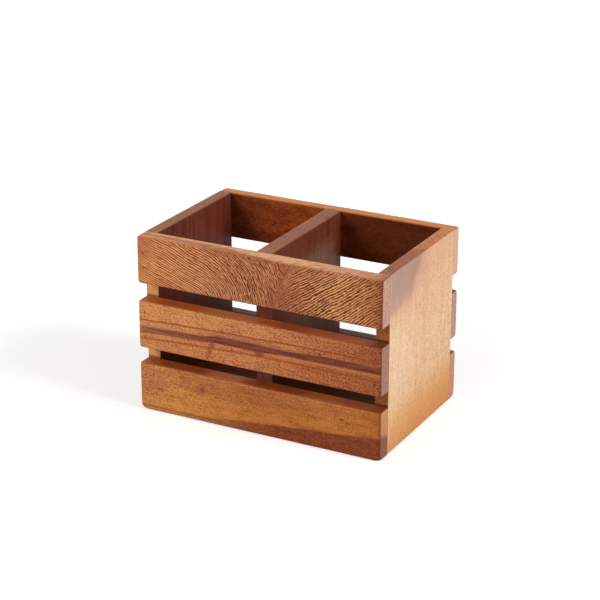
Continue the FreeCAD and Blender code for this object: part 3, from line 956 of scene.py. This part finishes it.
def front_top_wood():
    """Two sweeps of rippled grain that meet at a smooth red seam right of the
    middle: orange and fine at the left, golden and strongly lined at the
    right. The rim is golden and rosy in turn along the left, and plain and
    rosy at the right."""
    wood = Timber("front top wood", "front_top_slat", "X", 9)
    seam = wood.x - wood.z * 0.444 + lumps(wood.place, 9) * 5 + 27.1
    wiggle, broken = rise(wood.x, -60, 0, 0.5, 1.3), rise(wood.x, -50, 5, 0.55, 1.1)
    left = grain_ripples(wood.place, (-53, 0, 82), (-0.943, 0, 0.332), 1.5, wiggle, broken)
    right = grain_ripples(wood.place, (-104, 0, -75), (0.819, 0, 0.574), 1.6, 0.85, 0.8)
    calm = between(seam, -3, 3.5, 2.5)
    ripples = (left * fall(seam, -3, 2) + right * rise(seam, -1, 5)) * (1 - calm * 0.35)
    fine = fibres(wood.place, 1.2, 0.6, 0.2)
    cloud = lumps(wood.place, (14, 10, 7), 3, 0.6)
    pale = tone_run(wood.x, (-92, "e89f65"), (-55, "e8a168"), (-20, "d08c5e"), (8, "cc8a5c"),
                    (20, "c27a52"), (34, "d28e5e"), (62, "e8a66c"), (80, "d38e58"),
                    (92, "b0673c"))
    deep = tone_run(wood.x, (-92, "8e441c"), (-40, "803a16"), (0, "6c2c10"), (20, "80381a"),
                    (40, "64260a"), (66, "6c2e10"), (92, "7e3e18"))
    wood.colour = blend(ripples * 1.3 + cloud * 0.9 + fine.mottle * 0.7 - 1, pale, deep)
    dashes = speckle(wood.along, 1.3, 1)
    wood.stain(calm * dashes, "70301c", 0.7)
    rosy = rise(lumps(wood.along, (28, 9, 8)), 0.5, 0.68)
    wood.stain(rosy, "a85c40", 0.25)
    flow = wood.y + cloud * 3 - 1.5
    golden = flow - height_run(wood.x, (-92, -56), (-72, -56.2), (-57, -57.8), (-42, -59.2),
                               (-20, -61.5))
    bright = flow - height_run(wood.x, (-92, -53), (-27, -54), (-12, -56.8), (3, -59),
                               (20, -62))
    rim = stain(blend(fall(golden, -0.9, 0.9), "b87550", "d68e58"), rise(bright, -0.9, 1.1),
                "e8a877")
    plain_rim = tone_run(wood.x, (40, "dda076"), (70, "d6966e"), (84, "ce8c66"), (92, "b06c4a"))
    rim = blend(rise(wood.x, 26, 58), rim, plain_rim)
    rim = stain(rim, rise(wood.y, -51.8, -50.4), "e2a05e", 0.5)
    rim = blend(cut_rays(wood.place, 0.6) * 4 - 1.95, rim, "935230")
    wood.stain(rise(wood.z, 122.5, 125.5), "7a3418", 0.15)
    wood.spot(0.6, 0.5, 5, ((-88, -60, 98.5), (8, 30, 5.5), "d09648", 0.35),
              ((-79.5, -60, 112), (3, 30, 9), "dc9a50", 0.4),
              ((-85, -60, 120), (7, 30, 8), "b8644a", 0.35),
              ((20, -60, 100), (17, 30, 9), "8c4630", 0.35))
    # Painted shade on the rounded right-hand end.
    wood.colour = shaded_right_end(wood.colour, wood.place, 0.5)
    bruise(wood, "front", "top", "5e382e")
    wood.cover(rise(wood.z, 125.7, 126.7), rim)
    end = blend(fine.mottle * 0.8 + cut_grit(wood.place) * 0.55 - 0.5, "c49a84", "906860")
    return wood.finish(end, 1 - ripples * 0.5 - fine.pores * 0.4, "7c3c22")


def back_top_wood():
    """Figured orange-brown heartwood with painted light and shade on its inner
    face, bright just left of the divider and darker at the left end and to the
    right, and a golden rim with a wavy figure."""
    wood = Timber("back top wood", "back_top_slat", "X", 10)
    rings = growth_rings(wood.along, (0, 10, 200), 3.4, 9, 40)
    fine = fibres(wood.along, 2.2, 0.55, 0.34)
    cloud = lumps(wood.along, (18, 10, 7), 3, 0.6)
    figure = speckle(wood.along, 3, 1.6)
    depth = within(rings * 0.45 + fine.mottle * 0.7 + cloud * 0.9 + figure * 0.45 - 1)
    # Painted light and shade on the inner face: bright orange just left of the divider, darker at
    # the left end and right of the divider.
    inner = tone_run(wood.x, (-82, "7e3a1c"), (-30, "b85420"), (0, "a84a1d"), (12, "70300f"),
                     (82, "6b2f12"))
    inner = blend(depth, inner, "4a1906")
    outer = blend(depth, "cf8c52", "93512a")
    wood.colour = blend(rise(wood.y, 53, 57), inner, outer)
    wood.stain(fine.pores, "3a160a", 0.5)
    rim = blend(cut_rays(wood.place, 0.5) * 1.6 + cloud * 0.7 - 1.1, "d48747", "9a5223")
    bruise(wood, "back", "top")
    wood.cover(rise(wood.z, 125.8, 126.7), rim)
    end = blend(cut_grit(wood.place) * 0.6 + depth * 0.4 - 0.25, "d9ad91", "b6886e")
    return wood.finish(end, 1 - fine.pores, "9a5a34", 0.3)


slat("front", "top", 9.0, front_top_wood())
slat("back", "top", 10.0, back_top_wood())


# --- Brads and filler --------------------------------------------------------
# Headed nails of drawn steel wire, sunk below the slats' faces, and the dark
# filler that is pressed into the hole over each one and wiped off.

PLUG_RADIUS = 0.95 * MM
PLUG_LEVEL, PLUG_DEPTH = 0.07 * MM, 0.45 * MM
PLUG_SIDES, PLUG_RINGS = 16, 7


def filler_plugs(side):
    """Oval beads of filler, one in each hollow of a side. At an angle a, from 0
    on the skin to pi inside, a bead is radius * sin(a) wide and lies
    level + depth (1 - cos(a)) / 2 below the face; rings of points at even
    angles are joined in quads, and each pole is one point."""
    node = f"{side}_brad_fillers"
    outward = OUTWARD[side]
    face_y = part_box(f"{side}_top_slat")[0 if outward == LOW else 1][1]
    middles = np.array([middle for level in ("bottom", "middle", "top")
                        for middle in plug_middles(side, level)])
    angle = np.linspace(0, math.pi, PLUG_RINGS + 2)
    angle = np.repeat(angle, [1, *[PLUG_SIDES] * PLUG_RINGS, 1])
    turn = np.arange(PLUG_SIDES) * 2 * math.pi / PLUG_SIDES
    around = np.concatenate([[0], np.tile(turn, PLUG_RINGS), [0]])
    width = PLUG_RADIUS * np.sin(angle)
    dip = PLUG_LEVEL + PLUG_DEPTH * (1 - np.cos(angle)) / 2
    bead = np.stack([width * np.cos(around), face_y - outward * dip, width * np.sin(around)], -1)
    shift = np.stack([middles[:, 0], np.zeros(len(middles)), middles[:, 1]], -1)
    points = (bead[None] + shift[:, None]).reshape(-1, 3)
    grid = 1 + np.arange(PLUG_RINGS * PLUG_SIDES).reshape(PLUG_RINGS, PLUG_SIDES)
    ahead = np.roll(grid, -1, axis=1)
    quads = np.stack([grid[:-1], grid[1:], ahead[1:], ahead[:-1]], -1).reshape(-1, 4)
    skin = np.stack([np.zeros(PLUG_SIDES, int), grid[0], ahead[0]], -1)
    heel = np.stack([np.full(PLUG_SIDES, len(bead) - 1), ahead[-1], grid[-1]], -1)
    starts = np.arange(len(middles))[:, None, None] * len(bead)
    faces = [(starts + ring[:, ::outward]).reshape(-1, ring.shape[1]).tolist()
             for ring in (quads, skin, heel)]
    piece = add_mesh(node.title(), points, sum(faces, []))
    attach(piece, "root")
    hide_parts(node)
    return piece


def filler_paste():
    """Dark brown wood filler, matt and a little grainy, that took more of the
    wood's colour where it was wiped thin at the left."""
    material, place = start_material("wood filler")
    grain = lumps(place, 0.35, 3, 0.6)
    x, _, z = parts(place)
    right = tone_run(z, (14, "96583a"), (30, "9c623e"), (54, "6c4232"), (74, "80503c"),
                     (105, "663e32"), (116, "6e4638"))
    left = tone_run(z, (14, "a4683e"), (54, "b07044"), (74, "a05c40"), (104, "9c5c44"),
                    (116, "5e3c32"))
    colour = blend(rise(x, -1, 1), left, right)
    colour = stain(colour, within(grain * 1.2 + lumps(place, 9) * 0.6 - 0.5), "4c2a20", 0.7)
    finish_material(colour, rise(grain, 0.3, 0.7, 0.7, 0.85), gloss=0.06, height=grain,
                    depth=0.05, strength=0.5)
    return material


def brad_steel():
    """Bright drawn steel with a thin dull coat that is scuffed in places."""
    material, place = start_material("brad steel")
    scuff = rise(lumps(place, 0.8, 3, 0.6), 0.4, 0.65)
    drawn = lumps(place, (0.12, 2.5, 0.12))
    colour = blend(scuff, "8f8e8a", "c4c3bf")
    finish_material(colour, rise(scuff, 0, 1, 0.5, 0.3), gloss=0.5, height=drawn, depth=0.02,
                    strength=0.3, metallic=1.0)
    return material


paste = filler_paste()
for plug_side in ("front", "back"):
    filler_plugs(plug_side).data.materials.append(paste)
steel = brad_steel()
for brads in ("front_slat_brads", "back_slat_brads", "divider_brads"):
    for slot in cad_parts[brads].material_slots:
        slot.material = steel


# --- Studio ------------------------------------------------------------------
# A pale floor under soft light: a broad lamp at the right, a smaller one at
# the left in front, and an even sky all round.

CAMERA_PLACE = (0.56616, -1.07241, 0.54685)
CAMERA_LENS, CAMERA_REACH = 113.518, 20.0
CAMERA_YAW, CAMERA_PITCH, CAMERA_ROLL = 0.48520, 0.36992, 0.00187
SKY_LEVEL = 0.30
LAMP_AIM = Vector((0.0, 0.0, 0.06))
FLOOR_HALF, FLOOR_LEVEL = 4.0, -0.2 * MM


def add_camera():
    """The camera, turned left by its yaw and down by its pitch."""
    camera = bpy.data.objects.new("Camera", bpy.data.cameras.new("Camera"))
    camera.data.lens = CAMERA_LENS
    camera.data.clip_end = CAMERA_REACH
    turn = Euler((math.pi / 2 - CAMERA_PITCH, 0, CAMERA_YAW)).to_quaternion()
    turn = turn @ Quaternion((0, 0, 1), CAMERA_ROLL)
    camera.matrix_world = Matrix.LocRotScale(CAMERA_PLACE, turn, None)
    bpy.context.collection.objects.link(camera)
    bpy.context.scene.camera = camera


def add_lamp(name, place, size, power):
    """A square soft lamp that points at the middle of the caddy."""
    lamp = bpy.data.objects.new(name, bpy.data.lights.new(name, "AREA"))
    lamp.data.size = size
    lamp.data.energy = power
    lamp.location = place
    lamp.rotation_euler = (LAMP_AIM - lamp.location).to_track_quat("-Z", "Y").to_euler()
    bpy.context.collection.objects.link(lamp)


def add_floor():
    """A wide pale sheet that shows white and keeps the caddy's shadow."""
    corners = np.array([(x * FLOOR_HALF, y * FLOOR_HALF, FLOOR_LEVEL)
                        for x, y in ((-1, -1), (1, -1), (1, 1), (-1, 1))])
    floor = add_mesh("Floor", corners, [[0, 1, 2, 3]])
    material, place = start_material("pale floor")
    tree = place.tree
    seen = Layer(put(tree, "ShaderNodeLightPath").outputs["Is Camera Ray"])
    lift = seen * rise(reckon("LENGTH", place), 150, 1200, 0.45, 0.85)
    shader = put(tree, "ShaderNodeBsdfPrincipled",
                 {"Base Color": "ececec", "Roughness": 0.9, "Specular IOR Level": 0.0,
                  "Emission Color": "ffffff", "Emission Strength": lift})
    put(tree, "ShaderNodeOutputMaterial", {"Surface": Layer(shader.outputs[0])})
    floor.data.materials.append(material)


def add_sky():
    """Even light from all round, and white where the camera sees past the floor."""
    world = bpy.data.worlds.new("Sky")
    world.use_nodes = True
    tree = world.node_tree
    tree.nodes.clear()
    path = put(tree, "ShaderNodeLightPath").outputs
    seen = reckon("MAXIMUM", Layer(path["Is Camera Ray"]), Layer(path["Is Glossy Ray"]))
    sky = put(tree, "ShaderNodeBackground", {"Color": "ffffff",
                                             "Strength": seen * (1 - SKY_LEVEL) + SKY_LEVEL})
    put(tree, "ShaderNodeOutputWorld", {"Surface": Layer(sky.outputs[0])})
    bpy.context.scene.world = world


add_sky()
add_floor()
add_lamp("Right_Lamp", (1.7, 0.1, 1.1), size=1.0, power=26.0)
add_lamp("Left_Lamp", (-1.0, -1.5, 1.1), size=0.8, power=20.0)
add_camera()
bpy.context.scene.view_settings.view_transform = "Standard"
